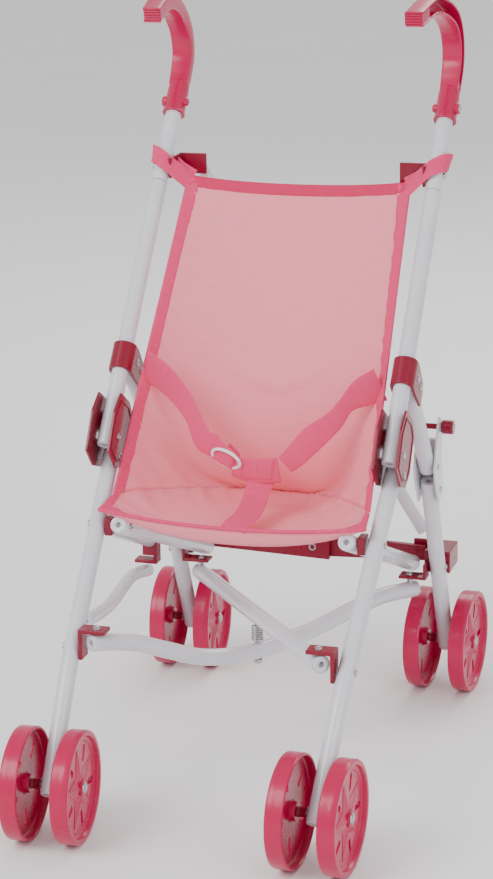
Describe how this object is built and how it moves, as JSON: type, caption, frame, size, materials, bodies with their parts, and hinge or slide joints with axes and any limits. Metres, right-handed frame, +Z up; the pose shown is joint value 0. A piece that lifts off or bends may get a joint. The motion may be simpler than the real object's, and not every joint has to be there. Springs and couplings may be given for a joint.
{
  "type": "doll stroller",
  "caption": "Folding toy stroller with a tube frame, hook handles, a fabric sling seat with a harness, and paired wheels on every leg.",
  "frame": {"origin": "on the floor under the middle of the wheelbase, in the middle plane", "axes": "+Z up, +Y towards the rear (the side that is pushed), +X to the stroller's right as seen from its front"},
  "size_m": [0.2708, 0.4372, 0.5586],
  "materials": {
    "tube": "gloss",
    "bracket": "gloss",
    "plastic": "gloss",
    "steel": "polished",
    "fabric": "plain weave",
    "webbing": "ribbed",
    "ring": "gloss"
  },
  "bodies": {
    "frame_left": {"front_leg_left": "tube", "hinge_channel_left": "bracket", "front_axle_left": "steel", "link_spacer_left": "bracket", "stay_tube": "tube", "stay_brace": "tube"},
    "frame_right": {"front_leg_right": "tube", "hinge_channel_right": "bracket", "front_axle_right": "steel", "link_spacer_right": "bracket"},
    "push_left": {"push_tube_left": "tube", "handle_tube_left": "tube", "handle_left": "plastic", "upper_clamp_left": "bracket", "lock_strut_left": "tube", "seat_back": "fabric", "left_strap": "webbing", "right_strap": "webbing", "harness_ring": "ring"},
    "push_right": {"push_tube_right": "tube", "handle_tube_right": "tube", "handle_right": "plastic", "upper_clamp_right": "bracket", "lock_strut_right": "tube"},
    "link_left": {"side_link_left": "tube", "seat_pan": "fabric", "crotch_strap": "webbing"},
    "link_right": {"side_link_right": "tube"},
    "rear_left": {"rear_leg_left": "tube", "latch_bracket_left": "tube", "rear_axle_left": "steel", "crossbar_clip_left": "bracket"},
    "rear_right": {"rear_leg_right": "tube", "latch_bracket_right": "tube", "rear_axle_right": "steel", "crossbar_clip_right": "bracket"},
    "lock_left": {"lock_pin_left": "bracket"},
    "lock_right": {"lock_pin_right": "bracket"},
    "front_hanger_left": {"front_bracket_left": "bracket"},
    "rear_hanger_left": {"rear_bracket_left": "bracket"},
    "bar_left": {"crossbar_left": "bracket"},
    "top_hanger_left": {"brace_bracket_left": "bracket"},
    "cross_left": {"rear_brace_left": "tube"},
    "front_hanger_right": {"front_bracket_right": "bracket"},
    "rear_hanger_right": {"rear_bracket_right": "bracket"},
    "bar_right": {"crossbar_right": "bracket"},
    "top_hanger_right": {"brace_bracket_right": "bracket"},
    "cross_right": {"rear_brace_right": "tube"},
    "lower_bent": {"lower_brace_bent": "tube", "centre_bolt": "steel", "bolt_spring": "steel"},
    "lower_straight": {"lower_brace_straight": "tube"},
    "front_outer_left": {"front_outer_wheel_left": "plastic"},
    "front_inner_left": {"front_inner_wheel_left": "plastic"},
    "rear_outer_left": {"rear_outer_wheel_left": "plastic"},
    "rear_inner_left": {"rear_inner_wheel_left": "plastic"},
    "front_outer_right": {"front_outer_wheel_right": "plastic"},
    "front_inner_right": {"front_inner_wheel_right": "plastic"},
    "rear_outer_right": {"rear_outer_wheel_right": "plastic"},
    "rear_inner_right": {"rear_inner_wheel_right": "plastic"}
  },
  "joints": [
    {"name": "fold_left", "type": "hinge", "parent": "frame_left", "child": "push_left", "pos_m": [-0.1085, -0.00885, 0.24811], "axis": [1, 0, 0], "range_deg": [0, 45], "deforming": ["seat_back", "seat_pan", "left_strap", "right_strap", "crotch_strap", "harness_ring"]},
    {"name": "close_right", "type": "slide", "parent": "frame_left", "child": "frame_right", "axis": [-1, 0, 0], "range_m": [0, 0.045], "deforming": ["seat_back", "seat_pan", "left_strap", "right_strap", "crotch_strap", "harness_ring"]},
    {"name": "fold_right", "type": "hinge", "parent": "frame_right", "child": "push_right", "pos_m": [0.1085, -0.00885, 0.24811], "axis": [1, 0, 0], "range_deg": [0, 45]},
    {"name": "link_left_pivot", "type": "hinge", "parent": "frame_left", "child": "link_left", "pos_m": [-0.086, -0.042, 0.19], "axis": [1, 0, 0], "range_deg": [0, 30]},
    {"name": "rear_left_pivot", "type": "hinge", "parent": "push_left", "child": "rear_left", "pos_m": [-0.1085, 0.107, 0.206], "axis": [1, 0, 0], "range_deg": [-34, 0]},
    {"name": "lock_left_pull", "type": "slide", "parent": "rear_left", "child": "lock_left", "axis": [-1, 0, 0], "range_m": [0, 0.006], "stiffness_N_per_m": 150, "springref_m": -0.01},
    {"name": "front_hanger_left_pivot", "type": "hinge", "parent": "frame_left", "child": "front_hanger_left", "pos_m": [-0.082, -0.114, 0.1254], "axis": [1, 0, 0], "range_deg": [0, 22]},
    {"name": "rear_hanger_left_pivot", "type": "hinge", "parent": "rear_left", "child": "rear_hanger_left", "pos_m": [-0.087, 0.14199, 0.09246], "axis": [1, 0, 0], "range_deg": [0, 11]},
    {"name": "bar_left_pivot", "type": "hinge", "parent": "rear_left", "child": "bar_left", "pos_m": [-0.0885, 0.172, 0.113], "axis": [0, -1, 0], "range_deg": [0, 42]},
    {"name": "top_hanger_left_pivot", "type": "hinge", "parent": "push_left", "child": "top_hanger_left", "pos_m": [-0.1, 0.13562, 0.42578], "axis": [1, 0, 0], "range_deg": [-10, 0]},
    {"name": "cross_left_pivot", "type": "hinge", "parent": "top_hanger_left", "child": "cross_left", "pos_m": [-0.087, 0.16162, 0.42578], "axis": [0, 1, 0], "range_deg": [0, 9]},
    {"name": "link_right_pivot", "type": "hinge", "parent": "frame_right", "child": "link_right", "pos_m": [0.086, -0.042, 0.19], "axis": [1, 0, 0], "range_deg": [0, 30]},
    {"name": "rear_right_pivot", "type": "hinge", "parent": "push_right", "child": "rear_right", "pos_m": [0.1085, 0.107, 0.206], "axis": [1, 0, 0], "range_deg": [-34, 0]},
    {"name": "lock_right_pull", "type": "slide", "parent": "rear_right", "child": "lock_right", "axis": [1, 0, 0], "range_m": [0, 0.006], "stiffness_N_per_m": 150, "springref_m": -0.01},
    {"name": "front_hanger_right_pivot", "type": "hinge", "parent": "frame_right", "child": "front_hanger_right", "pos_m": [0.082, -0.114, 0.1254], "axis": [1, 0, 0], "range_deg": [0, 22]},
    {"name": "rear_hanger_right_pivot", "type": "hinge", "parent": "rear_right", "child": "rear_hanger_right", "pos_m": [0.087, 0.14199, 0.09246], "axis": [1, 0, 0], "range_deg": [0, 11]},
    {"name": "bar_right_pivot", "type": "hinge", "parent": "rear_right", "child": "bar_right", "pos_m": [0.0885, 0.172, 0.113], "axis": [0, 1, 0], "range_deg": [0, 42]},
    {"name": "top_hanger_right_pivot", "type": "hinge", "parent": "push_right", "child": "top_hanger_right", "pos_m": [0.1, 0.13562, 0.42578], "axis": [1, 0, 0], "range_deg": [-10, 0]},
    {"name": "cross_right_pivot", "type": "hinge", "parent": "top_hanger_right", "child": "cross_right", "pos_m": [0.087, 0.14862, 0.42578], "axis": [0, 1, 0], "range_deg": [-8, 0]},
    {"name": "lower_bent_pivot", "type": "hinge", "parent": "front_hanger_left", "child": "lower_bent", "pos_m": [-0.082, -0.114, 0.1254], "axis": [0, 0, 1], "range_deg": [0, 10]},
    {"name": "lower_straight_pivot", "type": "hinge", "parent": "front_hanger_right", "child": "lower_straight", "pos_m": [0.082, -0.114, 0.1254], "axis": [0, 0, 1], "range_deg": [-10, 0]},
    {"name": "front_outer_left_spin", "type": "hinge", "parent": "frame_left", "child": "front_outer_left", "pos_m": [-0.11548, -0.1779, 0.0405], "axis": [-0.9988, -0.0489, 0], "continuous": true},
    {"name": "front_inner_left_spin", "type": "hinge", "parent": "frame_left", "child": "front_inner_left", "pos_m": [-0.07852, -0.1761, 0.0405], "axis": [-0.9988, -0.0489, 0], "continuous": true},
    {"name": "rear_outer_left_spin", "type": "hinge", "parent": "rear_left", "child": "rear_outer_left", "pos_m": [-0.12698, 0.1761, 0.0405], "axis": [-0.9988, -0.0489, 0], "continuous": true},
    {"name": "rear_inner_left_spin", "type": "hinge", "parent": "rear_left", "child": "rear_inner_left", "pos_m": [-0.09002, 0.1779, 0.0405], "axis": [-0.9988, -0.0489, 0], "continuous": true},
    {"name": "front_outer_right_spin", "type": "hinge", "parent": "frame_right", "child": "front_outer_right", "pos_m": [0.11548, -0.1779, 0.0405], "axis": [0.9988, -0.0489, 0], "continuous": true},
    {"name": "front_inner_right_spin", "type": "hinge", "parent": "frame_right", "child": "front_inner_right", "pos_m": [0.07852, -0.1761, 0.0405], "axis": [0.9988, -0.0489, 0], "continuous": true},
    {"name": "rear_outer_right_spin", "type": "hinge", "parent": "rear_right", "child": "rear_outer_right", "pos_m": [0.12698, 0.1761, 0.0405], "axis": [0.9988, -0.0489, 0], "continuous": true},
    {"name": "rear_inner_right_spin", "type": "hinge", "parent": "rear_right", "child": "rear_inner_right", "pos_m": [0.09002, 0.1779, 0.0405], "axis": [0.9988, -0.0489, 0], "continuous": true}
  ],
  "couplings": [
    {"joint": "close_right", "follows": "fold_left", "m_per_rad": 0.056066},
    {"joint": "fold_right", "follows": "fold_left", "ratio": 1},
    {"joint": "link_left_pivot", "follows": "fold_left", "ratio": 0.6627},
    {"joint": "rear_left_pivot", "follows": "fold_left", "ratio": -0.7516},
    {"joint": "front_hanger_left_pivot", "follows": "fold_left", "ratio": 0.4834},
    {"joint": "rear_hanger_left_pivot", "follows": "fold_left", "ratio": 0.235},
    {"joint": "bar_left_pivot", "follows": "fold_left", "ratio": 0.918},
    {"joint": "top_hanger_left_pivot", "follows": "fold_left", "ratio": -0.2095},
    {"joint": "cross_left_pivot", "follows": "fold_left", "ratio": 0.1786},
    {"joint": "link_right_pivot", "follows": "fold_left", "ratio": 0.6627},
    {"joint": "rear_right_pivot", "follows": "fold_left", "ratio": -0.7516},
    {"joint": "front_hanger_right_pivot", "follows": "fold_left", "ratio": 0.4834},
    {"joint": "rear_hanger_right_pivot", "follows": "fold_left", "ratio": 0.235},
    {"joint": "bar_right_pivot", "follows": "fold_left", "ratio": 0.918},
    {"joint": "top_hanger_right_pivot", "follows": "fold_left", "ratio": -0.1988},
    {"joint": "cross_right_pivot", "follows": "fold_left", "ratio": -0.17},
    {"joint": "lower_bent_pivot", "follows": "fold_left", "ratio": 0.2071},
    {"joint": "lower_straight_pivot", "follows": "fold_left", "ratio": -0.2071}
  ]
}
